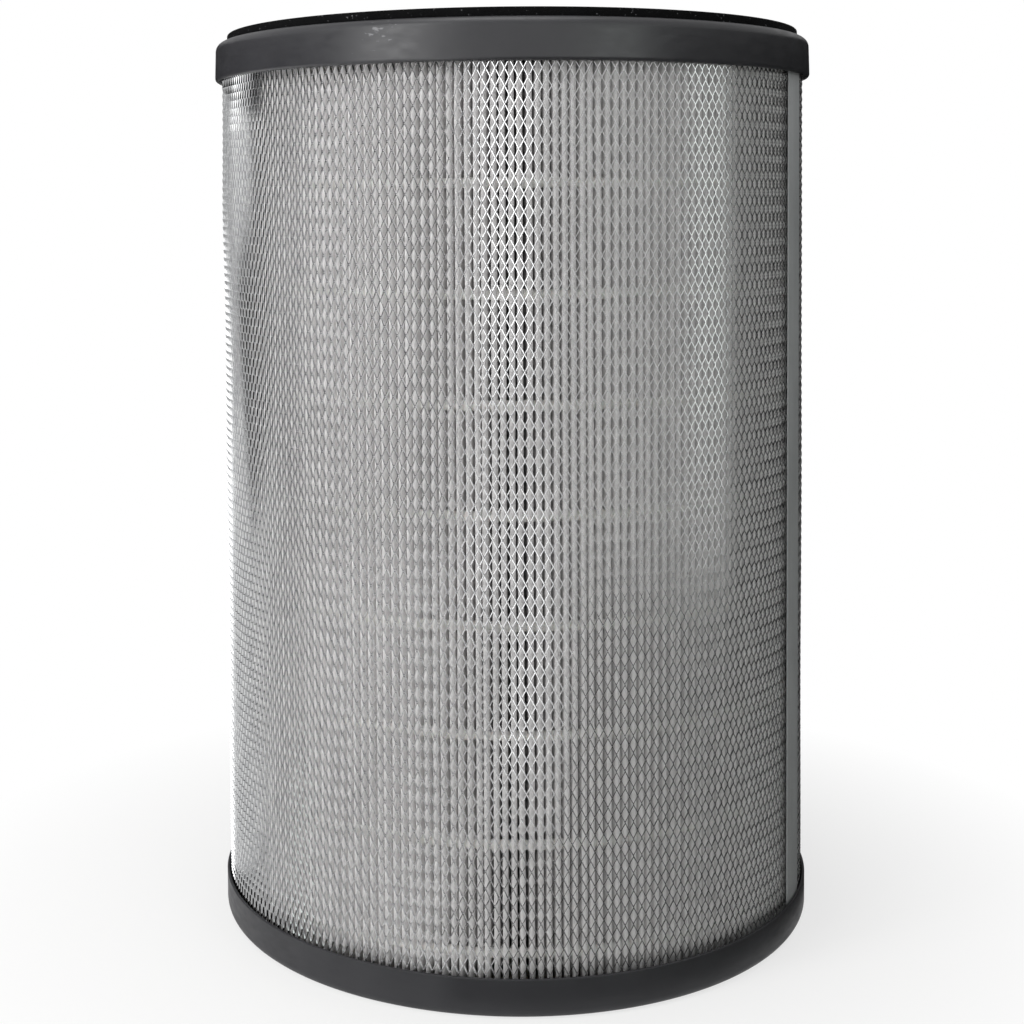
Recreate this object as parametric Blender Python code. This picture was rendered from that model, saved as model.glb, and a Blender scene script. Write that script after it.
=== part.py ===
"""Round pleated filter of a room air purifier, standing on its closed end cap.

Metres, with +Z up the filter's axis and the origin at the centre of the base. The front faces -Y.
A folded pack of media stands between two moulded end caps, with its ends set in potting. An
expanded metal sleeve guards it outside, a second one carries it round the bore, and a foam
gasket on the open top cap seals the filter to its machine.
"""

import math

import bmesh
import bpy
from mathutils import Matrix, Vector

# Overall sizes
FILTER_HEIGHT = 0.451
SLEEVE_RADIUS = 0.1515
PLEAT_DEPTH = 0.036
FIT_GAP = 0.0003

# End caps, moulded channels
TOP_CAP_WALL = 0.002
TOP_SKIRT_HEIGHT = 0.0206
TOP_SKIRT_CLEARANCE = 0.0011
BOTTOM_CAP_WALL = 0.0012
BOTTOM_SKIRT_HEIGHT = 0.0186
CAP_FACE_THICKNESS = 0.0025
CAP_SHOULDER_RADIUS = 0.0045
CAP_DRAFT = 0.0004
BORE_WALL = 0.002
BORE_WALL_HEIGHT = 0.014
BORE_EDGE_RADIUS = 0.0015
POTTING_DEPTH = 0.008

# Foam gasket on the top cap
GASKET_THICKNESS = 0.004
GASKET_WIDTH = 0.015
GASKET_INSET = 0.0063

# Folded media and the hot melt beads that space its pleats
PLEAT_COUNT = 232
MEDIA_THICKNESS = 0.00055
BEAD_PITCH = 0.05
FIRST_BEAD_HEIGHT = 0.0275
BEAD_HEIGHT = 0.005
BEAD_DEPTH = 0.001

# Expanded metal: the diamonds keep their true proportions and are drawn larger than the real
# 4 by 8 mm, so that the strands and openings are real ones
SHEET_THICKNESS = 0.0005
SLEEVE_HALF_COLUMNS = 28
SLEEVE_HALF_ROWS = 7
SLEEVE_STRAND_WIDTH = 0.010
SLEEVE_RELIEF = 0.0004
CORE_HALF_COLUMNS = 16
CORE_HALF_ROWS = 5
CORE_STRAND_WIDTH = 0.011
CORE_RELIEF = 0.0003
SEAM_GAP = 0.001

# Strips over the seams of the two rolled sheets
STRIP_THICKNESS = 0.0005
STRIP_WIDTH = 0.022
STRIP_ANGLE = math.radians(66.9)
CORE_STRIP_WIDTH = 0.009
CORE_STRIP_ANGLE = math.radians(246.9)

# How finely the round forms are faceted
CAP_SEGMENTS = 60
POTTING_SEGMENTS = 30
BEAD_SEGMENTS = 28
CORE_BEAD_SEGMENTS = 20
SHOULDER_SEGMENTS = 3
STRIP_SEGMENTS = 4


def flat_radius(radius, segments):
    """The distance from the axis to the middle of a facet, for corners at this radius."""
    return radius * math.cos(math.pi / segments)


def corner_radius(radius, segments):
    """The radius of the corners whose facets just clear this radius."""
    return radius / math.cos(math.pi / segments)


# Heights, from the base up
LOWER_POTTING_BOTTOM = CAP_FACE_THICKNESS + FIT_GAP
MEDIA_BOTTOM = LOWER_POTTING_BOTTOM + POTTING_DEPTH + FIT_GAP
UPPER_POTTING_TOP = FILTER_HEIGHT - CAP_FACE_THICKNESS - FIT_GAP
MEDIA_TOP = UPPER_POTTING_TOP - POTTING_DEPTH - FIT_GAP
TOP_SKIRT_BOTTOM = FILTER_HEIGHT - TOP_SKIRT_HEIGHT

# Radii, from the sleeve out to the caps
SLEEVE_FACE = SLEEVE_RADIUS - SLEEVE_RELIEF
STRIP_INSIDE = SLEEVE_FACE + FIT_GAP
STRIP_OUTSIDE = STRIP_INSIDE + STRIP_THICKNESS
TOP_SKIRT_INSIDE = STRIP_OUTSIDE + TOP_SKIRT_CLEARANCE
TOP_CAP_RADIUS = TOP_SKIRT_INSIDE + TOP_CAP_WALL
BOTTOM_SKIRT_INSIDE = corner_radius(STRIP_OUTSIDE + FIT_GAP, CAP_SEGMENTS)
BOTTOM_CAP_RADIUS = BOTTOM_SKIRT_INSIDE + BOTTOM_CAP_WALL

# Radii, from the sleeve in to the bore
SLEEVE_INSIDE = flat_radius(SLEEVE_FACE - SLEEVE_RELIEF - SHEET_THICKNESS, SLEEVE_HALF_COLUMNS)
BEAD_OUTSIDE = SLEEVE_INSIDE - FIT_GAP
PLEAT_TIP = flat_radius(BEAD_OUTSIDE - BEAD_DEPTH, BEAD_SEGMENTS) - FIT_GAP
PLEAT_ROOT = PLEAT_TIP - PLEAT_DEPTH
CORE_BEAD_OUTSIDE = PLEAT_ROOT - FIT_GAP
CORE_OUTSIDE = flat_radius(CORE_BEAD_OUTSIDE - BEAD_DEPTH, CORE_BEAD_SEGMENTS) - FIT_GAP
CORE_FACE = CORE_OUTSIDE - CORE_RELIEF
CORE_INSIDE = flat_radius(CORE_FACE - CORE_RELIEF - SHEET_THICKNESS, CORE_HALF_COLUMNS)
CORE_STRIP_OUTSIDE = CORE_FACE - SHEET_THICKNESS - FIT_GAP
BORE_WALL_OUTSIDE = min(CORE_INSIDE, CORE_STRIP_OUTSIDE - STRIP_THICKNESS) - FIT_GAP
BORE_RADIUS = BORE_WALL_OUTSIDE - BORE_WALL


def linear(channel):
    """An 8-bit sRGB value as Blender's linear one."""
    share = channel / 255
    if share <= 0.04045:
        return share / 12.92
    return ((share + 0.055) / 1.055) ** 2.4


def finish(name, colour, roughness, metallic=0.0):
    """A plain Principled material of this 8-bit sRGB colour."""
    material = bpy.data.materials.new(name)
    material.use_nodes = True
    material.diffuse_color = (*map(linear, colour), 1.0)
    shader = material.node_tree.nodes["Principled BSDF"]
    shader.inputs["Base Color"].default_value = (*map(linear, colour), 1.0)
    shader.inputs["Roughness"].default_value = roughness
    shader.inputs["Metallic"].default_value = metallic
    return material


def add_object(name, bm, material, smooth_degrees=None):
    """Makes the mesh an object under the filter's empty, shaded smooth below this angle."""
    mesh = bpy.data.meshes.new(name)
    bm.to_mesh(mesh)
    bm.free()
    if smooth_degrees is not None:
        mesh.shade_smooth()
        mesh.set_sharp_from_angle(angle=math.radians(smooth_degrees))
    mesh.materials.append(material)
    part = bpy.data.objects.new(name, mesh)
    bpy.context.collection.objects.link(part)
    part.parent = filter_frame
    return part


def around(radius, angle, height=0.0):
    """A point at this angle from the front, turning towards +X."""
    return Vector((radius * math.sin(angle), -radius * math.cos(angle), height))


def arc(centre, radius, start_degrees, end_degrees, segments):
    """Profile points (radius, height) along an arc, both ends included."""
    points = []
    for step in range(segments + 1):
        angle = math.radians(start_degrees + (end_degrees - start_degrees) * step / segments)
        points.append((centre[0] + radius * math.cos(angle), centre[1] + radius * math.sin(angle)))
    return points


def turned(profile, segments, closed=True):
    """Spins a profile of (radius, height) points once round the axis."""
    bm = bmesh.new()
    verts = [bm.verts.new((radius, 0.0, height)) for radius, height in profile]
    edges = [bm.edges.new(pair) for pair in zip(verts, verts[1:])]
    if closed:
        edges.append(bm.edges.new((verts[-1], verts[0])))
    bmesh.ops.spin(
        bm,
        geom=verts + edges,
        cent=(0, 0, 0),
        axis=(0, 0, 1),
        angle=math.tau,
        steps=segments,
        use_merge=True,
    )
    bmesh.ops.remove_doubles(bm, verts=bm.verts, dist=1e-6)
    bmesh.ops.recalc_face_normals(bm, faces=bm.faces)
    return bm


def ring(name, inside, outside, bottom, top, segments, material):
    """A plain turned ring of square section."""
    profile = [(outside, bottom), (outside, top), (inside, top), (inside, bottom)]
    return add_object(name, turned(profile, segments), material, smooth_degrees=30)


def add_top_cap(material):
    """A channel open downwards: outer skirt, face with a rounded shoulder, and bore wall."""
    face_radius = TOP_CAP_RADIUS - CAP_DRAFT
    shoulder = (face_radius - CAP_SHOULDER_RADIUS, FILTER_HEIGHT - CAP_SHOULDER_RADIUS)
    bore_edge = (BORE_RADIUS + BORE_EDGE_RADIUS, FILTER_HEIGHT - BORE_EDGE_RADIUS)
    channel_top = FILTER_HEIGHT - CAP_FACE_THICKNESS
    bore_wall_bottom = FILTER_HEIGHT - BORE_WALL_HEIGHT
    profile = [(TOP_SKIRT_INSIDE, TOP_SKIRT_BOTTOM), (TOP_CAP_RADIUS, TOP_SKIRT_BOTTOM)]
    profile += arc(shoulder, CAP_SHOULDER_RADIUS, 0, 90, SHOULDER_SEGMENTS)
    profile += arc(bore_edge, BORE_EDGE_RADIUS, 90, 180, 2)
    profile += [(BORE_RADIUS, bore_wall_bottom), (BORE_WALL_OUTSIDE, bore_wall_bottom)]
    profile += [(BORE_WALL_OUTSIDE, channel_top)]
    profile += [(TOP_SKIRT_INSIDE - CAP_FACE_THICKNESS, channel_top)]
    profile += [(TOP_SKIRT_INSIDE, channel_top - CAP_FACE_THICKNESS)]
    add_object("top_cap", turned(profile, CAP_SEGMENTS), material, smooth_degrees=35)


def add_bottom_cap(material):
    """A closed dish: skirt, rounded corner, flat base, and a low wall that locates the core."""
    shoulder = (BOTTOM_CAP_RADIUS - CAP_SHOULDER_RADIUS, CAP_SHOULDER_RADIUS)
    floor = CAP_FACE_THICKNESS
    profile = [(0.0, 0.0)]
    profile += arc(shoulder, CAP_SHOULDER_RADIUS, -90, 0, SHOULDER_SEGMENTS)
    profile += [(BOTTOM_CAP_RADIUS, BOTTOM_SKIRT_HEIGHT)]
    profile += [(BOTTOM_SKIRT_INSIDE, BOTTOM_SKIRT_HEIGHT)]
    profile += [(BOTTOM_SKIRT_INSIDE, 2 * floor), (BOTTOM_SKIRT_INSIDE - floor, floor)]
    profile += [(BORE_WALL_OUTSIDE, floor), (BORE_WALL_OUTSIDE, BORE_WALL_HEIGHT)]
    profile += [(BORE_RADIUS, BORE_WALL_HEIGHT), (BORE_RADIUS, floor), (0.0, floor)]
    body = turned(profile, CAP_SEGMENTS, closed=False)
    add_object("bottom_cap", body, material, smooth_degrees=35)


def add_potting(material):
    """Cast rings in both channels, which hold the ends of the media and of the metal sheets."""
    inside = corner_radius(BORE_WALL_OUTSIDE + FIT_GAP, POTTING_SEGMENTS)
    corner_clearance = CAP_FACE_THICKNESS + FIT_GAP
    for name, bottom, skirt_inside in (
        ("bottom_potting", LOWER_POTTING_BOTTOM, BOTTOM_SKIRT_INSIDE),
        ("top_potting", UPPER_POTTING_TOP - POTTING_DEPTH, TOP_SKIRT_INSIDE),
    ):
        outside = flat_radius(skirt_inside, CAP_SEGMENTS) - corner_clearance
        ring(name, inside, outside, bottom, bottom + POTTING_DEPTH, POTTING_SEGMENTS, material)


def add_gasket(material):
    """A flat foam ring glued on the top cap, just inside its rounded shoulder."""
    outside = TOP_CAP_RADIUS - GASKET_INSET
    bottom = FILTER_HEIGHT + FIT_GAP
    top = bottom + GASKET_THICKNESS
    ring("gasket", outside - GASKET_WIDTH, outside, bottom, top, CAP_SEGMENTS, material)


def where_lines_meet(point, direction, other_point, other_direction):
    """The crossing of two lines in the XY plane."""
    across = other_direction.to_2d().orthogonal()
    share = across.dot((other_point - point).to_2d()) / across.dot(direction.to_2d())
    return point + direction * share


def add_pleat_pack(material):
    """One long sheet folded into a star and closed on itself, of even thickness throughout."""
    half_turn = math.pi / PLEAT_COUNT
    fold_inside = around(PLEAT_TIP - MEDIA_THICKNESS, 0)
    root = around(PLEAT_ROOT, half_turn)
    flank = (root - fold_inside).normalized()
    side = Vector((flank.y, -flank.x, 0)) * MEDIA_THICKNESS
    tip_edge = around(PLEAT_TIP, 0)
    tip = where_lines_meet(fold_inside + side, flank, tip_edge, Vector((1, 0, 0)))
    notch = where_lines_meet(fold_inside + side, flank, Vector(), root.normalized())

    bm = bmesh.new()
    rings = []
    for pleat in range(PLEAT_COUNT):
        turn = Matrix.Rotation(2 * half_turn * pleat, 3, "Z")
        corners = (Vector((-tip.x, tip.y, 0)), tip, fold_inside, root, notch)
        rings.append([bm.verts.new(turn @ corner) for corner in corners])
    for here, following in zip(rings, rings[1:] + rings[:1]):
        tip_left, tip_right, inside, inner_fold, outer_notch = here
        bm.faces.new((tip_left, tip_right, inside))
        bm.faces.new((tip_right, outer_notch, inner_fold, inside))
        bm.faces.new((outer_notch, following[0], following[2], inner_fold))
    bmesh.ops.recalc_face_normals(bm, faces=bm.faces)
    section = bm.faces[:]
    lifted = bmesh.ops.extrude_face_region(bm, geom=section)["geom"]
    new_verts = [item for item in lifted if isinstance(item, bmesh.types.BMVert)]
    bmesh.ops.translate(bm, verts=new_verts, vec=(0, 0, MEDIA_TOP - MEDIA_BOTTOM))
    bmesh.ops.translate(bm, verts=bm.verts, vec=(0, 0, MEDIA_BOTTOM))
    bmesh.ops.recalc_face_normals(bm, faces=bm.faces)
    add_object("pleat_pack", bm, material)


def bead_heights():
    """The heights of the beads' middles: as many as lie clear below the top cap's skirt."""
    heights = []
    height = FIRST_BEAD_HEIGHT
    while height + BEAD_HEIGHT < TOP_SKIRT_BOTTOM:
        heights.append(height)
        height += BEAD_PITCH
    return heights


def add_glue_beads(material):
    """Hot melt runs round the pack, rounded away from the pleats, outside and inside."""
    for number, height in enumerate(bead_heights(), 1):
        bottom = height - BEAD_HEIGHT / 2
        top = height + BEAD_HEIGHT / 2
        seat = BEAD_OUTSIDE - BEAD_DEPTH
        outer = turned([(seat, bottom), (BEAD_OUTSIDE, height), (seat, top)], BEAD_SEGMENTS)
        add_object(f"glue_bead_{number}", outer, material, smooth_degrees=60)
        crest = CORE_BEAD_OUTSIDE - BEAD_DEPTH
        profile = [(CORE_BEAD_OUTSIDE, bottom), (CORE_BEAD_OUTSIDE, top), (crest, height)]
        inner = turned(profile, CORE_BEAD_SEGMENTS)
        add_object(f"inner_glue_bead_{number}", inner, material, smooth_degrees=60)


def diamond_corners(column, row, columns, rows):
    """The grid points round the diamond centred here, cut off by the edges of the sheet."""
    corners = []
    for step_column, step_row in ((-1, 0), (0, -1), (1, 0), (0, 1)):
        if not 0 <= row + step_row <= rows:
            corners.append((column, row))
        elif 0 <= column + step_column <= columns:
            corners.append((column + step_column, row + step_row))
    return corners


def add_seam_margins(bm, length, margin):
    """Widens the flat sheet by a plain margin at its two ends, which the seam strip covers."""
    for end, step in ((0.0, -margin), (length, margin)):
        edges = [edge for edge in bm.edges if all(abs(v.co.x - end) < 1e-6 for v in edge.verts)]
        widened = bmesh.ops.extrude_edge_only(bm, edges=edges)["geom"]
        new_verts = [item for item in widened if isinstance(item, bmesh.types.BMVert)]
        bmesh.ops.translate(bm, verts=new_verts, vec=(step, 0, 0))


def add_expanded_sheet(name, face, columns, rows, strand, relief, margin, seam_angle, material):
    """Slit and stretched sheet, rolled into a tube with a seam.

    Each strand is turned about the vertical, because the right side of a diamond stands
    forward of the sheet's face and the left side behind it, as stretching leaves them.
    """
    length = math.tau * face - SEAM_GAP - 2 * margin
    column_width = length / columns
    row_height = (MEDIA_TOP - MEDIA_BOTTOM) / rows
    bm = bmesh.new()
    verts = {}
    diamonds = []
    for column in range(columns + 1):
        for row in range(column % 2, rows + 1, 2):
            corners = diamond_corners(column, row, columns, rows)
            for corner in corners:
                if corner not in verts:
                    place = (corner[0] * column_width, corner[1] * row_height, 0)
                    verts[corner] = bm.verts.new(place)
            diamonds.append((bm.faces.new([verts[corner] for corner in corners]), column))
    openings = [diamond for diamond, column in diamonds]
    bmesh.ops.recalc_face_normals(bm, faces=openings)
    bmesh.ops.inset_individual(bm, faces=openings, thickness=strand / 2, use_even_offset=True)
    for opening, column in diamonds:
        for vert in opening.verts:
            vert.co.z = relief * (vert.co.x - column * column_width) / column_width
    bmesh.ops.delete(bm, geom=openings, context="FACES_ONLY")
    add_seam_margins(bm, length, margin)
    for vert in bm.verts:
        angle = seam_angle + (SEAM_GAP / 2 + margin + vert.co.x) / face
        vert.co = around(face + vert.co.z, angle, MEDIA_BOTTOM + vert.co.y)
    bmesh.ops.recalc_face_normals(bm, faces=bm.faces)
    bm.normal_update()
    outward = sum(item.normal.dot(item.calc_center_median().xy.to_3d()) for item in bm.faces)
    if outward < 0:
        bmesh.ops.reverse_faces(bm, faces=bm.faces)
    sheet = add_object(name, bm, material, smooth_degrees=30)
    wall = sheet.modifiers.new("sheet", "SOLIDIFY")
    wall.thickness = SHEET_THICKNESS
    wall.offset = -1


def add_strip(name, inside, width, middle_angle, material):
    """A narrow strip of sheet, bent to the sleeve and covering its seam from cap to cap."""
    outside = inside + STRIP_THICKNESS
    half_angle = width / 2 / inside
    angles = []
    for step in range(STRIP_SEGMENTS + 1):
        angles.append(middle_angle + half_angle * (2 * step / STRIP_SEGMENTS - 1))
    bm = bmesh.new()
    outer = [bm.verts.new(around(outside, angle, MEDIA_BOTTOM)) for angle in angles]
    inner = [bm.verts.new(around(inside, angle, MEDIA_BOTTOM)) for angle in angles]
    for step in range(STRIP_SEGMENTS):
        bm.faces.new((outer[step], outer[step + 1], inner[step + 1], inner[step]))
    lifted = bmesh.ops.extrude_face_region(bm, geom=bm.faces[:])["geom"]
    new_verts = [item for item in lifted if isinstance(item, bmesh.types.BMVert)]
    bmesh.ops.translate(bm, verts=new_verts, vec=(0, 0, MEDIA_TOP - MEDIA_BOTTOM))
    bmesh.ops.recalc_face_normals(bm, faces=bm.faces)
    add_object(name, bm, material, smooth_degrees=30)


def add_metal_sheets(steel, strip_steel):
    """The sleeve outside the pack and the core round its bore, each with its seam strip."""
    add_expanded_sheet(
        "outer_mesh",
        SLEEVE_FACE,
        SLEEVE_HALF_COLUMNS,
        SLEEVE_HALF_ROWS,
        SLEEVE_STRAND_WIDTH,
        SLEEVE_RELIEF,
        STRIP_WIDTH / 2,
        STRIP_ANGLE,
        steel,
    )
    add_expanded_sheet(
        "inner_mesh",
        CORE_FACE,
        CORE_HALF_COLUMNS,
        CORE_HALF_ROWS,
        CORE_STRAND_WIDTH,
        CORE_RELIEF,
        CORE_STRIP_WIDTH / 2,
        CORE_STRIP_ANGLE,
        steel,
    )
    add_strip("seam_strip", STRIP_INSIDE, STRIP_WIDTH, STRIP_ANGLE, strip_steel)
    core_strip_inside = CORE_STRIP_OUTSIDE - STRIP_THICKNESS
    add_strip("core_seam_strip", core_strip_inside, CORE_STRIP_WIDTH, CORE_STRIP_ANGLE, strip_steel)


for leftover in list(bpy.data.objects):
    bpy.data.objects.remove(leftover)

filter_frame = bpy.data.objects.new("filter_frame", None)
bpy.context.collection.objects.link(filter_frame)

cap_plastic = finish("cap_plastic", (62, 62, 65), 0.38)
add_top_cap(cap_plastic)
add_bottom_cap(cap_plastic)
add_potting(finish("potting", (208, 200, 182), 0.5))
add_gasket(finish("gasket_foam", (25, 25, 27), 0.95))
add_pleat_pack(finish("filter_media", (226, 226, 222), 0.9))
add_glue_beads(finish("hot_melt", (236, 234, 226), 0.45))
add_metal_sheets(
    finish("expanded_steel", (172, 172, 172), 0.35, metallic=1.0),
    finish("strip_steel", (120, 121, 120), 0.5, metallic=1.0),
)
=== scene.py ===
import math

import bmesh
import bpy
from mathutils import Matrix, Vector, noise


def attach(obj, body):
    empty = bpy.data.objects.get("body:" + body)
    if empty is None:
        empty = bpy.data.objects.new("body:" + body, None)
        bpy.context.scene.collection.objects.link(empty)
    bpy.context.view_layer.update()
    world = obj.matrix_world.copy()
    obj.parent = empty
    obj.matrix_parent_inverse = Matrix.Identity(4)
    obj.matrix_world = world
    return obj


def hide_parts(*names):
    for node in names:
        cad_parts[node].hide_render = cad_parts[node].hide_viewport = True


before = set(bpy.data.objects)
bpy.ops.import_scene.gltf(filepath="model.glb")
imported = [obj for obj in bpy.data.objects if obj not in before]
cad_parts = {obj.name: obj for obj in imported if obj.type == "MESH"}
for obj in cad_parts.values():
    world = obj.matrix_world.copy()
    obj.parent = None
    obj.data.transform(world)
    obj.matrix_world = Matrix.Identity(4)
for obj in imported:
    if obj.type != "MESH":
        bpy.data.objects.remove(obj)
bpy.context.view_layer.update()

# Pleated media: one long sheet of white wet-laid glass fibre paper, scored, folded into 232
# pleats and glued shut as a star. The folds keep a small radius, and the pleats wander a little
# between the glue lines, so that the gaps between them are never quite even.
PLEATS = 232
MEDIA_FOOT = 0.0112
MEDIA_HEAD = 0.4398
PLEAT_TIP = 0.1486
PLEAT_ROOT = 0.1111
PAPER = 0.0005
TIP_FOLD = 0.00105
ROOT_FOLD = 0.00065
LOWEST_GLUE_LINE = 0.0275
GLUE_LINE_PITCH = 0.05
GLUE_LINES = [LOWEST_GLUE_LINE + GLUE_LINE_PITCH * line for line in range(8)]
PLEAT_WANDER = 0.00035
PLEAT_WANDER_HEIGHT = 0.06
PLEAT_MISPLACED = 0.0009
SLEEVE_CLEARANCE = 0.0011
DENT_MIDDLE = math.radians(-66)
DENT_HALF_WIDTH = math.radians(14)
DENT_DEPTH = 0.0036
DENT_FLAT_FOOT = 0.404
DENT_FLAT_RISE = 0.026
DENT_FLAT_SHARE = 0.7
DENT_HOLLOW_FOOT = 0.318
DENT_HOLLOW_RISE = 0.1
DENT_HOLLOW_SHARE = 0.3
NOISE_LOW = 0.3
NOISE_HIGH = 0.7
WELD = 1e-5


def linear(code):
    """An sRGB hex colour as the linear one that a shader takes."""
    shares = [int(code[start : start + 2], 16) / 255 for start in (1, 3, 5)]
    return (*[s / 12.92 if s <= 0.04045 else ((s + 0.055) / 1.055) ** 2.4 for s in shares], 1.0)


def add_node(material, kind, settings=(), values=(), **links):
    """One shader node: its settings, its sockets' values, and links from other nodes' outputs."""
    tree = material.node_tree
    made = tree.nodes.new(kind)
    for name, value in dict(settings).items():
        setattr(made, name, value)
    for name, value in dict(values).items():
        made.inputs[name].default_value = value
    for name, output in links.items():
        tree.links.new(output, made.inputs[name.replace("_", " ")])
    return made


def new_material(name, colour, roughness, metallic=0.0):
    """A Principled material and its shader."""
    material = bpy.data.materials.new(name)
    material.use_nodes = True
    shader = material.node_tree.nodes["Principled BSDF"]
    shader.inputs["Base Color"].default_value = linear(colour)
    shader.inputs["Roughness"].default_value = roughness
    shader.inputs["Metallic"].default_value = metallic
    return material, shader


def grain(material, size, detail=3.0, stretch=(1, 1, 1)):
    """Noise with grains about this many metres across, in the object's own coordinates."""
    place = add_node(material, "ShaderNodeTexCoord")
    scaled = add_node(
        material,
        "ShaderNodeMapping",
        values={"Scale": stretch},
        Vector=place.outputs["Object"],
    )
    return add_node(
        material,
        "ShaderNodeTexNoise",
        values={"Scale": 1 / size, "Detail": detail},
        Vector=scaled.outputs["Vector"],
    ).outputs["Fac"]


def spread(material, pattern, low, high):
    """A pattern stretched to run between two values."""
    return add_node(
        material,
        "ShaderNodeMapRange",
        values={"From Min": NOISE_LOW, "From Max": NOISE_HIGH, "To Min": low, "To Max": high},
        Value=pattern,
    ).outputs["Result"]


def tinted(material, shader, pattern, dark, light):
    """Lets a pattern move the colour between two hex codes."""
    ramp = add_node(material, "ShaderNodeValToRGB", Fac=pattern)
    ramp.color_ramp.elements[0].position = NOISE_LOW
    ramp.color_ramp.elements[1].position = NOISE_HIGH
    ramp.color_ramp.elements[0].color = linear(dark)
    ramp.color_ramp.elements[1].color = linear(light)
    material.node_tree.links.new(ramp.outputs["Color"], shader.inputs["Base Color"])
    return ramp.outputs["Color"]


def roughened(material, shader, pattern, low, high):
    """Lets a pattern move the roughness between two values."""
    material.node_tree.links.new(spread(material, pattern, low, high), shader.inputs["Roughness"])


def bumped(material, shader, pattern, depth):
    """Lets a pattern raise the surface by about this many metres."""
    bump = add_node(material, "ShaderNodeBump", values={"Distance": depth}, Height=pattern)
    material.node_tree.links.new(bump.outputs["Normal"], shader.inputs["Normal"])


def around(radius, angle, height=0.0):
    """A point at this angle from the front, turning towards +X."""
    return Vector((radius * math.sin(angle), -radius * math.cos(angle), height))


def place_of(point):
    """The radius and the angle from the front of a point."""
    return point.xy.length, math.atan2(point.x, -point.y)


def add_piece(name, bm, material, node, smooth_degrees=40):
    """Makes the mesh a piece of the filter in place of a CAD node, flat where it isn't smooth."""
    mesh = bpy.data.meshes.new(name)
    bm.to_mesh(mesh)
    bm.free()
    if smooth_degrees:
        mesh.shade_smooth()
        mesh.set_sharp_from_angle(angle=math.radians(smooth_degrees))
    mesh.materials.append(material)
    piece = bpy.data.objects.new(name, mesh)
    bpy.context.scene.collection.objects.link(piece)
    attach(piece, "root")
    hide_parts(node)
    return piece


def face_outwards(bm):
    """Turns an open sheet's faces away from the axis."""
    bmesh.ops.recalc_face_normals(bm, faces=bm.faces)
    bm.normal_update()
    outward = sum(face.normal.dot(face.calc_center_median().xy.to_3d()) for face in bm.faces)
    if outward < 0:
        bmesh.ops.reverse_faces(bm, faces=bm.faces)


def give_gauge(piece, thickness, offset):
    """Gives a sheet its thickness: offset -1 grows it inwards from its face, 0 both ways."""
    wall = piece.modifiers.new("gauge", "SOLIDIFY")
    wall.thickness = thickness
    wall.offset = offset


def dent(angle, height):
    """How far the sleeve is pushed in at its upper left: a flat below the cap, and a mild hollow
    under it that runs out lower down."""
    across = (angle - DENT_MIDDLE) / DENT_HALF_WIDTH
    flat = min(max((height - DENT_FLAT_FOOT) / DENT_FLAT_RISE, 0.0), 1.0)
    hollow = min(max((height - DENT_HOLLOW_FOOT) / DENT_HOLLOW_RISE, 0.0), 1.0)
    share = DENT_FLAT_SHARE * flat + DENT_HOLLOW_SHARE * hollow**1.5
    return DENT_DEPTH * max(1 - across**2, 0.0) * share


def fold(centre_radius, radius, start, end, turned_by, steps):
    """Plan points round a fold whose centre lies at this radius and angle."""
    centre = around(centre_radius, turned_by)
    outward = centre.normalized()
    sideways = Vector((-outward.y, outward.x, 0))
    points = []
    for step in range(steps + 1):
        angle = math.radians(start + (end - start) * step / steps)
        points.append(centre + radius * (outward * math.cos(angle) + sideways * math.sin(angle)))
    return points


def star_plan():
    """The folded sheet seen from above: one pleat, repeated round the axis."""
    half_turn = math.pi / PLEATS
    plan = fold(PLEAT_ROOT + ROOT_FOLD, ROOT_FOLD, 180, 90, -half_turn, 1)
    plan += fold(PLEAT_TIP - TIP_FOLD, TIP_FOLD, -90, 90, 0, 4)
    plan += fold(PLEAT_ROOT + ROOT_FOLD, ROOT_FOLD, -90, -180, half_turn, 1)
    bm = bmesh.new()
    verts = [bm.verts.new(point) for point in plan]
    edges = [bm.edges.new(pair) for pair in zip(verts, verts[1:])]
    bmesh.ops.spin(
        bm,
        geom=verts + edges,
        axis=(0, 0, 1),
        angle=math.tau * (PLEATS - 1) / PLEATS,
        steps=PLEATS - 1,
        use_duplicate=True,
    )
    bmesh.ops.remove_doubles(bm, verts=bm.verts, dist=WELD)
    return bm


def wander(bm):
    """Moves the pleats a little sideways, most between the glue lines, and in at the dent. Every
    pleat reads the noise at a place of its own."""
    for vert in bm.verts:
        radius, angle = place_of(vert.co)
        share = (radius - PLEAT_ROOT) / (PLEAT_TIP - PLEAT_ROOT)
        pleat = round(angle / math.tau * PLEATS) if share > 0.5 else 0
        between = math.sin(math.pi * (vert.co.z - LOWEST_GLUE_LINE) / GLUE_LINE_PITCH) ** 2
        shift = PLEAT_MISPLACED * noise.noise(Vector((pleat * 7.31, 0.5, 0.5)))
        sway = noise.noise(Vector((pleat * 3.17, vert.co.z / PLEAT_WANDER_HEIGHT, 4.5)))
        shift += PLEAT_WANDER * between * sway
        pushed = max(dent(angle, vert.co.z) - SLEEVE_CLEARANCE, 0.0)
        vert.co = around(radius - share * pushed, angle + share * shift / radius, vert.co.z)


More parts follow.
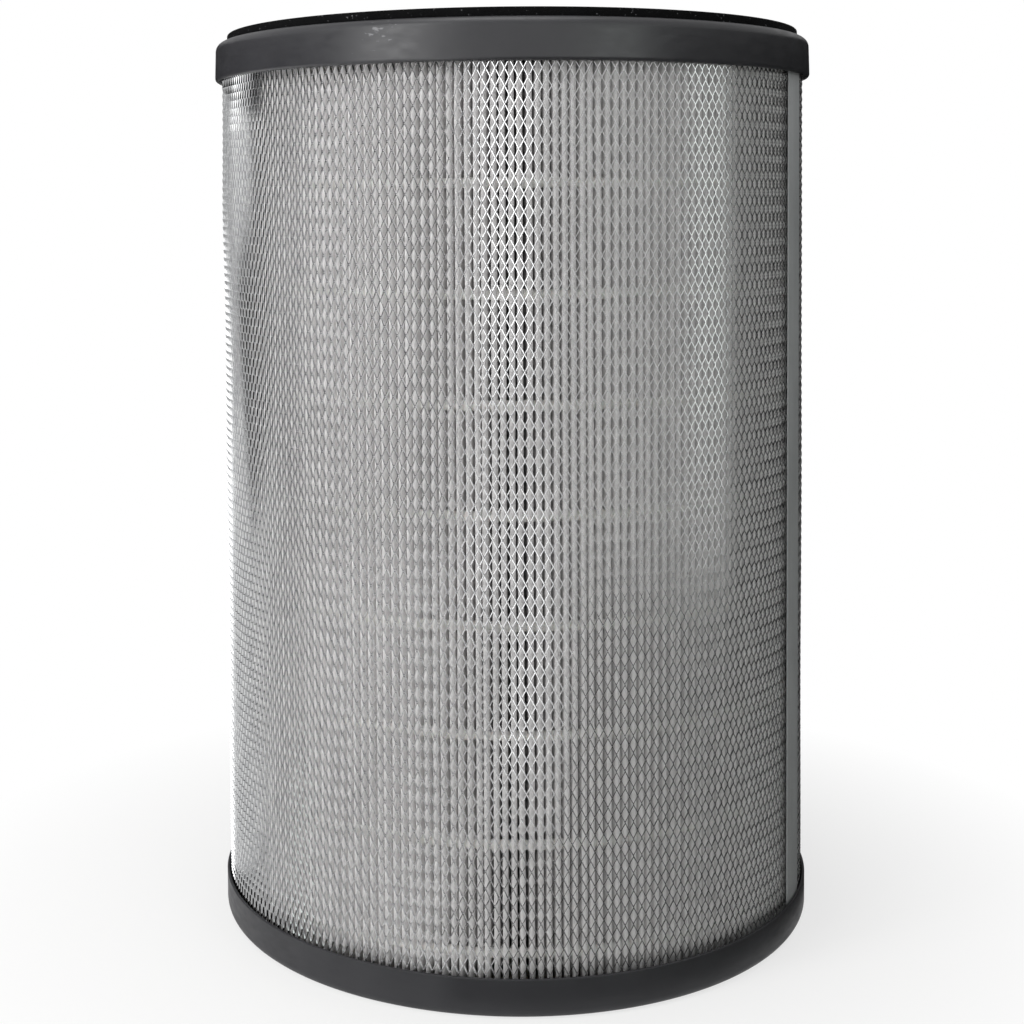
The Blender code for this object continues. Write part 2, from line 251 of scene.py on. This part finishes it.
bm = star_plan()
half_pitches = range(2 * len(GLUE_LINES) + 1)
levels = [LOWEST_GLUE_LINE + GLUE_LINE_PITCH / 2 * number for number in half_pitches]
levels = [MEDIA_FOOT] + levels + [MEDIA_HEAD]
bmesh.ops.translate(bm, verts=bm.verts, vec=(0, 0, levels[0]))
rim = bm.edges[:]
for lower, upper in zip(levels, levels[1:]):
    lifted = bmesh.ops.extrude_edge_only(bm, edges=rim)["geom"]
    new_verts = {item for item in lifted if isinstance(item, bmesh.types.BMVert)}
    bmesh.ops.translate(bm, verts=list(new_verts), vec=(0, 0, upper - lower))
    rim = [item for item in lifted if isinstance(item, bmesh.types.BMEdge)]
    rim = [edge for edge in rim if new_verts.issuperset(edge.verts)]
wander(bm)
face_outwards(bm)

# The paper is matt white and slightly clouded where the fibres clump. The relief of its fibres is
# drawn about a millimetre wide, coarser than the real one, so that it shows.
glass_paper, shader = new_material("glass_fibre_paper", "#e7e5e5", 0.95)
tinted(glass_paper, shader, grain(glass_paper, 0.006), "#e0dede", "#eeecec")
bumped(glass_paper, shader, grain(glass_paper, 0.0012), 0.00008)
media = add_piece("pleated_media", bm, glass_paper, "pleat_pack", 50)
give_gauge(media, PAPER, 0)

# Glue lines: beads of hot melt laid across the sheet before it is folded, which meet in the
# gaps and hold the pleats apart. Each shows as a pale, lumpy band round the pack, over the
# folds and sunk between them, outside and on the bore side.
BEAD_HALF_HEIGHT = 0.0023
BEAD_SHOULDER_SHARE = 0.6
BEAD_CREST_SHARE = 0.3
BEAD_LUMPS = 0.0007
SEAT_TOLERANCE = 0.00005
FINE_WELD = 1e-6


def turned(profile, steps, closed=True):
    """Spins a profile of (radius, height) points once round the axis."""
    bm = bmesh.new()
    verts = [bm.verts.new((radius, 0.0, height)) for radius, height in profile]
    edges = [bm.edges.new(pair) for pair in zip(verts, verts[1:])]
    if closed:
        edges.append(bm.edges.new((verts[-1], verts[0])))
    bmesh.ops.spin(
        bm,
        geom=verts + edges,
        axis=(0, 0, 1),
        angle=math.tau,
        steps=steps,
        use_merge=True,
    )
    bmesh.ops.remove_doubles(bm, verts=bm.verts, dist=FINE_WELD)
    bmesh.ops.recalc_face_normals(bm, faces=bm.faces)
    return bm


def bead(crest, seat, height, sinking, steps):
    """A rounded ring whose crest dips between the folds and swells a little here and there."""
    side = seat + BEAD_SHOULDER_SHARE * (crest - seat)
    half = BEAD_HALF_HEIGHT
    top = BEAD_CREST_SHARE * half
    profile = [(seat, height - half), (side, height - half), (crest, height - top)]
    profile += [(crest, height + top), (side, height + half), (seat, height + half)]
    bm = turned(profile, steps)
    for vert in bm.verts:
        radius, angle = place_of(vert.co)
        if abs(radius - seat) > SEAT_TOLERANCE:
            radius -= sinking * (0.5 - 0.5 * math.cos(PLEATS * angle))
            lump = noise.noise(Vector((angle * 60, height * 40, 1.5)))
            vert.co.z += BEAD_LUMPS * lump * (1 if vert.co.z > height else -1)
        radius -= max(dent(angle, height) - SLEEVE_CLEARANCE, 0.0) if sinking > 0 else 0.0
        vert.co = around(radius, angle, vert.co.z)
    return bm


# Hot melt is off-white, a little translucent and glossier than the paper.
hot_melt, shader = new_material("hot_melt_glue", "#dfdedb", 0.5)
shader.inputs["Subsurface Weight"].default_value = 0.05
shader.inputs["Subsurface Scale"].default_value = 0.001
for number, height in enumerate(GLUE_LINES, 1):
    outer = bead(
        crest=PLEAT_TIP + 0.0004,
        seat=PLEAT_TIP - 0.0030,
        height=height,
        sinking=0.0020,
        steps=PLEATS * 4,
    )
    add_piece(f"glue_line_{number}", outer, hot_melt, f"glue_bead_{number}")
    inner = bead(
        crest=PLEAT_ROOT - 0.0007,
        seat=PLEAT_ROOT + 0.0020,
        height=height,
        sinking=-0.0009,
        steps=PLEATS * 2,
    )
    node = f"inner_glue_bead_{number}"
    add_piece(f"bore_glue_line_{number}", inner, hot_melt, node)

# Expanded metal sleeve: thin galvanised sheet, slit and stretched into diamonds 4.2 mm wide and
# 7.9 mm high, left raised and rolled round the pack. Stretching turns every strand steeply
# about the vertical, with its flat face to the right and its cut edge to the front left.
SLEEVE_FACE = 0.1508
DIAMOND_COLUMNS = 228
DIAMOND_HEIGHT = 0.00794
STRAND_WIDTH = 0.00075
STRAND_TURN = math.radians(75)
BOND_SHARE = 0.3
SHEET_GAUGE = 0.0003
STRIP_MIDDLE = math.radians(66.9)
STRIP_HALF_ANGLE = 0.011 / 0.152
PRESSED_IN = 0.00045
PRESSED_IN_REACH = 1.35
PRESSED_IN_SLOPE = 0.3
SWELL_MIDDLE = -1.38
SWELL_WIDTH = 0.2
SWELL_HEIGHT = 0.362
SWELL_TALL = 0.03
SWELL_PROUD = 0.0006
WAVE_DEPTH = 0.00025
WAVES_ACROSS = 2.2
WAVE_TALL = 0.09
SLEEVE_PARTS = 4


def repeated(bm, step, times):
    """Copies all of the mesh this many times along a step."""
    seed = bm.verts[:] + bm.edges[:] + bm.faces[:]
    for copy in range(1, times):
        made = bmesh.ops.duplicate(bm, geom=seed)["geom"]
        verts = [item for item in made if isinstance(item, bmesh.types.BMVert)]
        bmesh.ops.translate(bm, verts=verts, vec=step * copy)


def expanded_sheet(columns, rows, width, height, strand, turn):
    """A flat sheet of diamonds: zigzag strands, each turned about the vertical, which meet at
    short bonds. One strand and its bonds are drawn, mirrored, and then copied."""
    bm = bmesh.new()
    across, back, bond = strand * math.cos(turn), strand * math.sin(turn), BOND_SHARE * strand
    top, side = height / 2, width / 2
    foot = [(0, -bond, 0), (across, 0, -back), (0, bond, 0)]
    head = [(side - across, top, back), (side, top - bond, 0), (side, top + bond, 0)]
    foot = [bm.verts.new(point) for point in foot]
    head = [bm.verts.new(point) for point in head]
    bm.faces.new(foot)
    bm.faces.new(head)
    strand_face = bm.faces.new((foot[2], foot[1], head[1], head[0]))
    strand_geometry = [*strand_face.verts, *strand_face.edges, strand_face]
    mirrored = bmesh.ops.duplicate(bm, geom=strand_geometry)["geom"]
    mirrored = [item for item in mirrored if isinstance(item, bmesh.types.BMVert)]
    about = Matrix.Translation((0, -top, 0))
    bmesh.ops.scale(bm, vec=(1, -1, 1), verts=mirrored, space=about)
    repeated(bm, Vector((side, top, 0)), 2)
    repeated(bm, Vector((0, height, 0)), rows)
    repeated(bm, Vector((width, 0, 0)), columns)
    bmesh.ops.remove_doubles(bm, verts=bm.verts, dist=WELD)
    return bm


def sleeve_face(angle, height):
    """The sleeve's radius: round, with the dent, a soft swell below it, and a dip at the strip."""
    from_strip = abs(math.remainder(angle - STRIP_MIDDLE, math.tau)) / STRIP_HALF_ANGLE
    dip = PRESSED_IN * min(max(PRESSED_IN_REACH - from_strip, 0.0) / PRESSED_IN_SLOPE, 1.0)
    beside = (angle - SWELL_MIDDLE) / SWELL_WIDTH
    above = (height - SWELL_HEIGHT) / SWELL_TALL
    swell = SWELL_PROUD * math.exp(-(beside**2) - above**2)
    right, forward = math.sin(angle) * WAVES_ACROSS, math.cos(angle) * WAVES_ACROSS
    wave = WAVE_DEPTH * noise.noise(Vector((right, forward, height / WAVE_TALL)))
    return SLEEVE_FACE - dip - dent(angle, height) + swell + wave


# Bright zinc over steel: pale, softly mirror-like, with a fine spangle that moves the gloss.
zinc_sheet, shader = new_material("galvanised_expanded_steel", "#d6d7d8", 0.16, metallic=1.0)
tinted(zinc_sheet, shader, grain(zinc_sheet, 0.004), "#c6c7c9", "#e2e3e3")
roughened(zinc_sheet, shader, grain(zinc_sheet, 0.0025), 0.12, 0.21)

rows = round((MEDIA_HEAD - MEDIA_FOOT) / DIAMOND_HEIGHT) - 1
columns = DIAMOND_COLUMNS // SLEEVE_PARTS
column_width = math.tau * SLEEVE_FACE / DIAMOND_COLUMNS
flat = expanded_sheet(
    columns, rows, column_width, DIAMOND_HEIGHT, STRAND_WIDTH, STRAND_TURN
)
for number in range(SLEEVE_PARTS):
    bm = flat.copy()
    start = STRIP_MIDDLE + math.tau * number / SLEEVE_PARTS
    for vert in bm.verts:
        angle = math.remainder(start + vert.co.x / SLEEVE_FACE, math.tau)
        height = MEDIA_FOOT + DIAMOND_HEIGHT / 2 + vert.co.y
        vert.co = around(sleeve_face(angle, height) + vert.co.z, angle, height)
    face_outwards(bm)
    name = f"expanded_sleeve_{number + 1}"
    sleeve = add_piece(name, bm, zinc_sheet, "outer_mesh", 0)
    give_gauge(sleeve, SHEET_GAUGE, 0)
flat.free()

# Expanded metal core: a heavier sheet with diamonds twice the size, rolled up inside the star,
# which keeps the pleats from being drawn into the bore.
CORE_FACE = 0.1074
CORE_COLUMNS = 84
CORE_DIAMOND_HEIGHT = 0.0158
CORE_STRAND_WIDTH = 0.0012
CORE_STRAND_TURN = math.radians(25)
CORE_GAUGE = 0.0006

rows = round((MEDIA_HEAD - MEDIA_FOOT) / CORE_DIAMOND_HEIGHT) - 1
column_width = math.tau * CORE_FACE / CORE_COLUMNS
bm = expanded_sheet(
    CORE_COLUMNS, rows, column_width, CORE_DIAMOND_HEIGHT, CORE_STRAND_WIDTH, CORE_STRAND_TURN
)
for vert in bm.verts:
    height = MEDIA_FOOT + CORE_DIAMOND_HEIGHT / 2 + vert.co.y
    vert.co = around(CORE_FACE + vert.co.z, vert.co.x / CORE_FACE, height)
bmesh.ops.remove_doubles(bm, verts=bm.verts, dist=WELD)
face_outwards(bm)
core = add_piece("expanded_core", bm, zinc_sheet, "inner_mesh", 0)
give_gauge(core, CORE_GAUGE, 0)

# Seam strips: plain galvanised strip, dull grey, sprung over the seam where the rolled sheet
# meets itself, and caught under both end caps. The sleeve's strip is 22 mm wide.
STRIP_FACE = 0.15205
CORE_STRIP_FACE = CORE_FACE - 0.0008
CORE_STRIP_HALF_ANGLE = 0.0045 / CORE_FACE
STRIP_GAUGE = 0.0005
SHEARED_EDGE = 0.00015


def strip(face, middle, half_angle, steps):
    """A narrow sheet bent round the axis, from the foot of the media to its head."""
    bm = bmesh.new()
    verts = [bm.verts.new(around(face, middle - half_angle, MEDIA_FOOT))]
    bmesh.ops.spin(
        bm, geom=verts, axis=(0, 0, 1), angle=2 * half_angle, steps=steps, use_merge=False
    )
    lifted = bmesh.ops.extrude_edge_only(bm, edges=bm.edges[:])["geom"]
    upper = [item for item in lifted if isinstance(item, bmesh.types.BMVert)]
    bmesh.ops.translate(bm, verts=upper, vec=(0, 0, MEDIA_HEAD - MEDIA_FOOT))
    face_outwards(bm)
    return bm


# Weathered zinc is an even dull grey with faint streaks along the strip, and hardly mirrors.
dull_zinc, shader = new_material("dull_galvanised_strip", "#b2b4b5", 0.5, metallic=0.2)
tinted(dull_zinc, shader, grain(dull_zinc, 0.02, stretch=(1, 1, 0.3)), "#acaeaf", "#b8babb")
roughened(dull_zinc, shader, grain(dull_zinc, 0.003), 0.44, 0.56)
bm = strip(STRIP_FACE, STRIP_MIDDLE, STRIP_HALF_ANGLE, 10)
seam = add_piece("sleeve_seam_strip", bm, dull_zinc, "seam_strip")
give_gauge(seam, STRIP_GAUGE, -1)
bm = strip(CORE_STRIP_FACE, STRIP_MIDDLE + math.pi, CORE_STRIP_HALF_ANGLE, 4)
core_seam = add_piece("core_seam_strip_bent", bm, dull_zinc, "core_seam_strip")
give_gauge(core_seam, STRIP_GAUGE, -1)
for piece in (seam, core_seam):
    edge = piece.modifiers.new("sheared_edge", "BEVEL")
    edge.width = SHEARED_EDGE
    edge.segments = 1

# Potting: off-white polyurethane, poured into both caps round the ends of the media and the
# sheets, which seals them and holds the cartridge together. It levelled as it cured, so its face
# is smooth, with a low sheen. The CAD's own rings are kept.
cast_resin, shader = new_material("cast_polyurethane", "#d3cbb7", 0.45)
tinted(cast_resin, shader, grain(cast_resin, 0.01), "#ccc3ae", "#d9d2bf")
for name in ("top_potting", "bottom_potting"):
    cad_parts[name].data.materials.clear()
    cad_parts[name].data.materials.append(cast_resin)

# End caps: dark grey ABS, injection moulded as channels with a deep outer skirt. The top one is
# satin and open round the bore, and its skirt ends in a rounded lip. The bottom one is duller
# and closed, and its thinner skirt fits the sleeve closely.
CAP_HEAD = 0.451
TOP_CAP_RADIUS = 0.155
TOP_SKIRT_FOOT = 0.4311
BOTTOM_CAP_RADIUS = 0.1536
BOTTOM_SKIRT_HEAD = 0.0186
BORE_RADIUS = 0.10235
CAP_WALL = 0.002
CAP_FACE = 0.0025
BOTTOM_SKIRT_WALL = 0.0012
SKIRT_DRAFT = 0.0004
SHOULDER_BEND = 0.0045
LIP_BEND = 0.0019
BORE_EDGE_BEND = 0.0015
EDGE_CHAMFER = 0.0005
RIM_CHAMFER = 0.0003
CHANNEL_DEPTH = 0.014
CAP_STEPS = 240
SCUFF_ANGLE = math.radians(-22.5)
SCUFF_BELOW_HEAD = 0.0055
SCUFF_REACH = 0.011
FADE_AT_REACH = 0.2


def arc(radius, height, bend, start, end, steps=5):
    """Profile points round a corner of this bend, whose centre is at (radius, height)."""
    points = []
    for step in range(steps + 1):
        angle = math.radians(start + (end - start) * step / steps)
        points.append((radius + bend * math.cos(angle), height + bend * math.sin(angle)))
    return points


def marked(material, shader, under, pattern, start, end, colour):
    """Pale marks over a colour, where a pattern rises from one level to another."""
    share = add_node(
        material,
        "ShaderNodeMapRange",
        values={"From Min": start, "From Max": end},
        Value=pattern,
    )
    over = add_node(
        material,
        "ShaderNodeMixRGB",
        values={"Color2": linear(colour)},
        Fac=share.outputs["Result"],
        Color1=under,
    )
    material.node_tree.links.new(over.outputs["Color"], shader.inputs["Base Color"])


def fading_from(material, pattern, middle, reach):
    """Lowers a pattern with the distance from a point, so that few marks are left at the reach."""
    place = add_node(material, "ShaderNodeTexCoord")
    away = add_node(
        material,
        "ShaderNodeVectorMath",
        {"operation": "DISTANCE"},
        Vector=place.outputs["Object"],
    )
    away.inputs[1].default_value = middle
    lowered = add_node(material, "ShaderNodeMath", {"operation": "MULTIPLY_ADD"})
    material.node_tree.links.new(away.outputs["Value"], lowered.inputs[0])
    lowered.inputs[1].default_value = -FADE_AT_REACH / reach
    material.node_tree.links.new(pattern, lowered.inputs[2])
    return lowered.outputs["Value"]


# ABS as it leaves the mould is an even dark grey, whose gloss changes slowly over the surface. The
# top cap's skirt has a small scuff at the front left, of fine pale scratches.
satin_abs, shader = new_material("moulded_satin_abs", "#363639", 0.36)
shader.inputs["Specular IOR Level"].default_value = 0.65
under = tinted(satin_abs, shader, grain(satin_abs, 0.03), "#333336", "#39393c")
scratches = grain(satin_abs, 0.0014, 4.0, (0.35, 0.35, 1))
scuff = around(TOP_CAP_RADIUS, SCUFF_ANGLE, CAP_HEAD - SCUFF_BELOW_HEAD)
scratches = fading_from(satin_abs, scratches, scuff, SCUFF_REACH)
marked(satin_abs, shader, under, scratches, 0.5, 0.6, "#77777a")
roughened(satin_abs, shader, grain(satin_abs, 0.009, stretch=(1, 1, 3)), 0.29, 0.43)
matt_abs, shader = new_material("moulded_matt_abs", "#343437", 0.5)
shader.inputs["Specular IOR Level"].default_value = 0.35
tinted(matt_abs, shader, grain(matt_abs, 0.03), "#313134", "#37373a")
roughened(matt_abs, shader, grain(matt_abs, 0.009, stretch=(1, 1, 3)), 0.44, 0.56)

inside = TOP_CAP_RADIUS - CAP_WALL
shoulder = TOP_CAP_RADIUS - SKIRT_DRAFT - SHOULDER_BEND
rim = CAP_HEAD - CHANNEL_DEPTH
ceiling = CAP_HEAD - CAP_FACE
profile = [(inside, ceiling - CAP_FACE), (inside, TOP_SKIRT_FOOT + EDGE_CHAMFER)]
profile += arc(TOP_CAP_RADIUS - LIP_BEND, TOP_SKIRT_FOOT + LIP_BEND, LIP_BEND, -85, 0)
profile += arc(shoulder, CAP_HEAD - SHOULDER_BEND, SHOULDER_BEND, 0, 90, 8)
profile += arc(BORE_RADIUS + BORE_EDGE_BEND, CAP_HEAD - BORE_EDGE_BEND, BORE_EDGE_BEND, 90, 180, 4)
profile += [(BORE_RADIUS, rim + EDGE_CHAMFER), (BORE_RADIUS + EDGE_CHAMFER, rim)]
profile += [(BORE_RADIUS + CAP_WALL, rim), (BORE_RADIUS + CAP_WALL, ceiling)]
profile += [(inside - CAP_FACE, ceiling)]
add_piece("moulded_top_cap", turned(profile, CAP_STEPS), satin_abs, "top_cap")

inside = BOTTOM_CAP_RADIUS - BOTTOM_SKIRT_WALL
channel_wall = BORE_RADIUS + CAP_WALL
profile = [(0.0, 0.0)]
profile += arc(BOTTOM_CAP_RADIUS - SHOULDER_BEND, SHOULDER_BEND, SHOULDER_BEND, -90, 0, 8)
profile += [(BOTTOM_CAP_RADIUS, BOTTOM_SKIRT_HEAD - RIM_CHAMFER)]
profile += [(BOTTOM_CAP_RADIUS - RIM_CHAMFER, BOTTOM_SKIRT_HEAD), (inside, BOTTOM_SKIRT_HEAD)]
profile += [(inside, 2 * CAP_FACE), (inside - CAP_FACE, CAP_FACE), (channel_wall, CAP_FACE)]
profile += [(channel_wall, CHANNEL_DEPTH), (BORE_RADIUS, CHANNEL_DEPTH), (BORE_RADIUS, CAP_FACE)]
profile += [(0.0, CAP_FACE)]
bottom = turned(profile, CAP_STEPS, closed=False)
add_piece("moulded_bottom_cap", bottom, matt_abs, "bottom_cap")

# Gasket: a ring of black closed-cell foam, glued on the top cap's face inside its shoulder. Its
# skin is matt with a few pale specks of dust. Its cells are drawn about a millimetre wide, larger
# than the real ones, so that they show.
GASKET_OUTSIDE = 0.1487
GASKET_INSIDE = 0.1337
GASKET_HEAD = 0.4553
GLUE_FILM = 0.00005
GASKET_FOOT = CAP_HEAD + GLUE_FILM
GASKET_EDGE = 0.0008

foam, shader = new_material("closed_cell_foam", "#0f0f10", 0.95)
shader.inputs["Specular IOR Level"].default_value = 0.1
under = tinted(foam, shader, grain(foam, 0.01), "#0d0d0e", "#111112")
marked(foam, shader, under, grain(foam, 0.0016, 4.0), 0.66, 0.72, "#6c6c6e")
bumped(foam, shader, grain(foam, 0.0012), 0.0003)
edge_height = GASKET_HEAD - GASKET_EDGE
profile = arc(GASKET_OUTSIDE - GASKET_EDGE, edge_height, GASKET_EDGE, 0, 90, 3)
profile += arc(GASKET_INSIDE + GASKET_EDGE, edge_height, GASKET_EDGE, 90, 180, 3)
profile += [(GASKET_INSIDE, GASKET_FOOT), (GASKET_OUTSIDE, GASKET_FOOT)]
add_piece("foam_gasket", turned(profile, CAP_STEPS), foam, "gasket")

# Stage: a pale floor that keeps the filter's shadow near it and runs out to plain white, in a
# white room. Rays that the camera, metal or plastic send out see the white at full strength.
FLOOR_RADIUS = 12
FLOOR_STARTS_WHITE = 0.16
FLOOR_ALL_WHITE = 0.34
WHITE_NEAREST = 0.72
ROOM_LIGHT = 0.22


def add_stage(name, bm, material):
    """A mesh of the set, which is no part of the filter."""
    mesh = bpy.data.meshes.new(name)
    bm.to_mesh(mesh)
    bm.free()
    mesh.materials.append(material)
    made = bpy.data.objects.new(name, mesh)
    bpy.context.scene.collection.objects.link(made)
    return made


def seen_directly(tree):
    """1 for rays from the camera or from gloss or glass, 0 for the light that lands on things."""
    rays = tree.nodes.new("ShaderNodeLightPath")
    share = rays.outputs["Is Camera Ray"]
    for kind in ("Is Glossy Ray", "Is Transmission Ray"):
        either = tree.nodes.new("ShaderNodeMath")
        either.operation = "MAXIMUM"
        tree.links.new(share, either.inputs[0])
        tree.links.new(rays.outputs[kind], either.inputs[1])
        share = either.outputs[0]
    return share


paper, shader = new_material("pale_floor_paper", "#f7f7f5", 0.8)
place = add_node(paper, "ShaderNodeTexCoord")
distance = add_node(
    paper, "ShaderNodeVectorMath", {"operation": "LENGTH"}, Vector=place.outputs["Object"]
)
whiteness = add_node(
    paper,
    "ShaderNodeMapRange",
    values={
        "From Min": FLOOR_STARTS_WHITE,
        "From Max": FLOOR_ALL_WHITE,
        "To Min": WHITE_NEAREST,
    },
    Value=distance.outputs["Value"],
)
share = add_node(paper, "ShaderNodeMath", {"operation": "MULTIPLY"})
paper.node_tree.links.new(seen_directly(paper.node_tree), share.inputs[0])
paper.node_tree.links.new(whiteness.outputs["Result"], share.inputs[1])
white = add_node(paper, "ShaderNodeEmission", values={"Color": (1, 1, 1, 1), "Strength": 1.0})
mixed = add_node(paper, "ShaderNodeMixShader", Fac=share.outputs[0])
paper.node_tree.links.new(shader.outputs["BSDF"], mixed.inputs[1])
paper.node_tree.links.new(white.outputs["Emission"], mixed.inputs[2])
surface = paper.node_tree.nodes["Material Output"].inputs["Surface"]
paper.node_tree.links.new(mixed.outputs[0], surface)
bm = bmesh.new()
bmesh.ops.create_circle(bm, cap_ends=True, segments=64, radius=FLOOR_RADIUS)
add_stage("floor", bm, paper)

world = bpy.data.worlds.new("studio")
bpy.context.scene.world = world
world.use_nodes = True
sky = world.node_tree.nodes["Background"]
level = world.node_tree.nodes.new("ShaderNodeMapRange")
level.inputs["To Min"].default_value = ROOM_LIGHT
world.node_tree.links.new(seen_directly(world.node_tree), level.inputs["Value"])
world.node_tree.links.new(level.outputs["Result"], sky.inputs["Strength"])
sky.inputs["Color"].default_value = (1, 1, 1, 1)

# Flags: cloths and cards that stand and lie round the set, with gaps for the lamps: four black, a
# pale one behind the camera, a dim ceiling and a dim cloth on the floor, and two glowing cards
# there.
# Only gloss sees them, so they are painted reflections in the zinc and the caps. The pale, dim and
# glowing ones glow though no lamp lights them, and the black ones paint the dark reflections.
CLOTH_FOOT = 0.002


def gloss_cloth(name, glow=0.0):
    """A matt black cloth or card that glows with this strength though no lamp lights it, as a
    painted reflection.
    """
    cloth, shader = new_material(name, "#0c0c0c", 1.0)
    shader.inputs["Specular IOR Level"].default_value = 0.0
    shader.inputs["Emission Color"].default_value = (1, 1, 1, 1)
    shader.inputs["Emission Strength"].default_value = glow
    return cloth


# Painted reflections: black cloths for the dark ones, and cloths and cards glowing by themselves
# for the bright ones.
velvet = gloss_cloth("black_flag_cloth")
dim_glow_cloth = gloss_cloth("dim_glowing_cloth", 0.52)
pale_glow_cloth = gloss_cloth("pale_glowing_cloth", 0.68)
glowing_card = gloss_cloth("glowing_reflection_card", 2.2)
standing = [(1.0, CLOTH_FOOT), (1.5, CLOTH_FOOT), (1.6, 0.8)]
far_floor = [(0.8, CLOTH_FOOT), (1.5, CLOTH_FOOT)]
middle_floor = [(0.27, CLOTH_FOOT), (0.8, CLOTH_FOOT)]
near_floor = [(0.2, CLOTH_FOOT), (0.33, CLOTH_FOOT)]
front_floor = [(0.45, CLOTH_FOOT), (1.5, CLOTH_FOOT)]
whole_floor = [(0.162, CLOTH_FOOT), (1.0, CLOTH_FOOT)]
overhead = [(1.6, 0.8), (1.2, 2.3), (0.01, 2.5)]
for number, (start, end, corners, cloth) in enumerate(
    (
        (-26, 26, standing, pale_glow_cloth),
        (47, 176, standing, velvet),
        (-176, -60, standing, velvet),
        # Glowing cards on the floor at the front left paint bright reflections of the floor, lit
        # by no lamp.
        (-54, -36, far_floor, glowing_card),
        (-36, -24, front_floor, glowing_card),
        (-84, -36, middle_floor, dim_glow_cloth),
        # Black cloths on the floor round the front and right paint dark reflections of the floor
        # next to the filter.
        (-36, -14, near_floor, velvet),
        (-14, 176, whole_floor, velvet),
        (-179, 179, overhead, dim_glow_cloth),
    ),
    1,
):
    bm = bmesh.new()
    verts = [bm.verts.new(around(radius, math.radians(start), up)) for radius, up in corners]
    edges = [bm.edges.new(pair) for pair in zip(verts, verts[1:])]
    bmesh.ops.spin(
        bm, geom=verts + edges, axis=(0, 0, 1), angle=math.radians(end - start), steps=16
    )
    bmesh.ops.remove_doubles(bm, verts=bm.verts, dist=WELD)
    flag = add_stage(f"flag_{number}", bm, cloth)
    flag.visible_camera = False
    flag.visible_diffuse = False
    flag.visible_shadow = False
    flag.visible_transmission = False

# Studio light: a tall soft lamp on the left, a dim greenish window at the front right, a soft lamp
# overhead, and three small fill lamps that light without showing in gloss.
AIM_HEIGHT = 0.23

for name, angle, height, distance, width, tall, power, colour in (
    ("left_softbox", -42, 0.85, 1.5, 0.6, 1.6, 7.5, "#ffffff"),
    ("upper_left_fill", -54, 1.25, 1.4, 0.4, 0.4, 8.0, "#ffffff"),
    ("left_fill", -76, 0.25, 1.3, 0.4, 0.4, 2.5, "#ffffff"),
    ("front_fill", -5, 1.3, 1.6, 0.4, 0.4, 1.8, "#ffffff"),
    ("right_window", 37, 0.6, 1.6, 0.5, 1.2, 1.3, "#f0fff6"),
    ("top_softbox", -20, 1.9, 0.25, 1.0, 1.0, 5.0, "#ffffff"),
):
    lamp = bpy.data.lights.new(name, "AREA")
    lamp.shape = "RECTANGLE"
    lamp.size = width
    lamp.size_y = tall
    lamp.energy = power
    lamp.color = linear(colour)[:3]
    holder = bpy.data.objects.new(name, lamp)
    holder.location = around(distance, math.radians(angle), height)
    aim = Vector((0, 0, AIM_HEIGHT)) - holder.location
    holder.rotation_euler = aim.to_track_quat("-Z", "Y").to_euler()
    holder.visible_glossy = "fill" not in name
    bpy.context.scene.collection.objects.link(holder)

# Camera: above the filter's middle, 0.9 m in front of its axis and looking slightly down, as the
# photo was taken.
HEADING = math.radians(1.8215)
DOWNWARD = math.radians(2.5696)
ROLL = math.radians(-0.3536)

camera = bpy.data.cameras.new("camera")
camera.lens = 59.755
camera.sensor_width = 36
camera.shift_x = 0.05312
camera.shift_y = -0.23337
viewpoint = bpy.data.objects.new("camera", camera)
turn = Matrix.Rotation(HEADING, 3, "Z")
turn = turn @ Matrix.Rotation(math.pi / 2 - DOWNWARD, 3, "X")
turn = turn @ Matrix.Rotation(ROLL, 3, "Z")
viewpoint.rotation_euler = turn.to_euler()
viewpoint.location = (0, -0.90465, 0.3713)
bpy.context.scene.collection.objects.link(viewpoint)
bpy.context.scene.camera = viewpoint
bpy.context.scene.view_settings.view_transform = "Standard"
